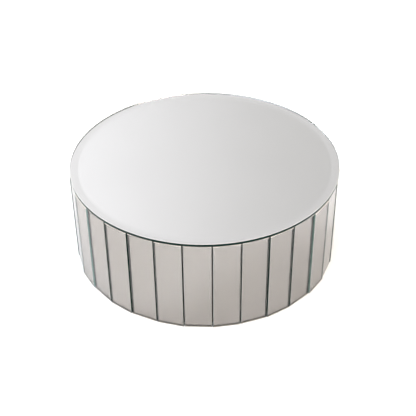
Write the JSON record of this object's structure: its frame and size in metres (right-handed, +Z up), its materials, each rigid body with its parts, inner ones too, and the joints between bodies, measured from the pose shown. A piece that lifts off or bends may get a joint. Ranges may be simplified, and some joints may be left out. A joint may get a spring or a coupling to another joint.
{
  "type": "mirrored display drum",
  "caption": "Low round display plinth: a hollow wooden drum clad in flat vertical mirror strips, with a bevelled round mirror on top and felt feet, to stand a cake or ornament on.",
  "frame": {"origin": "centre of the underside, on the surface that the felt feet stand on", "axes": "+Z up, square to the mirror top; -Y is the front, where the joint between two strips faces"},
  "size_m": [0.4012, 0.4009, 0.152],
  "materials": {
    "bevelled_mirror": "polished glass, silvered behind",
    "strip_mirror": "polished glass, silvered behind",
    "mirror_adhesive": "cured paste",
    "foam_tape": "closed-cell foam",
    "bent_plywood": "dark stained",
    "fibreboard": "sanded",
    "softwood": "sawn",
    "zinc_screw": "zinc plated",
    "felt": "pressed wool felt"
  },
  "bodies": {
    "root": {"top_mirror": "bevelled_mirror", "mirror_strip_01": "strip_mirror", "mirror_strip_02": "strip_mirror", "mirror_strip_03": "strip_mirror", "mirror_strip_04": "strip_mirror", "mirror_strip_05": "strip_mirror", "mirror_strip_06": "strip_mirror", "mirror_strip_07": "strip_mirror", "mirror_strip_08": "strip_mirror", "mirror_strip_09": "strip_mirror", "mirror_strip_10": "strip_mirror", "mirror_strip_11": "strip_mirror", "mirror_strip_12": "strip_mirror", "mirror_strip_13": "strip_mirror", "mirror_strip_14": "strip_mirror", "mirror_strip_15": "strip_mirror", "mirror_strip_16": "strip_mirror", "mirror_strip_17": "strip_mirror", "mirror_strip_18": "strip_mirror", "mirror_strip_19": "strip_mirror", "mirror_strip_20": "strip_mirror", "mirror_strip_21": "strip_mirror", "mirror_strip_22": "strip_mirror", "mirror_strip_23": "strip_mirror", "mirror_strip_24": "strip_mirror", "mirror_strip_25": "strip_mirror", "mirror_strip_26": "strip_mirror", "mirror_strip_27": "strip_mirror", "mirror_strip_28": "strip_mirror", "mirror_strip_29": "strip_mirror", "mirror_strip_30": "strip_mirror", "mirror_strip_31": "strip_mirror", "top_mirror_adhesive": "mirror_adhesive", "strip_tape": "foam_tape", "side_hoop": "bent_plywood", "top_board": "fibreboard", "base_board": "fibreboard", "cross_rib_lower": "fibreboard", "cross_rib_upper": "fibreboard", "edge_post_1": "softwood", "edge_post_2": "softwood", "edge_post_3": "softwood", "edge_post_4": "softwood", "top_board_screws": "zinc_screw", "base_board_screws": "zinc_screw", "foot_pad_1": "felt", "foot_pad_2": "felt", "foot_pad_3": "felt", "foot_pad_4": "felt", "foot_pad_5": "felt", "foot_pad_6": "felt"}
  },
  "joints": []
}
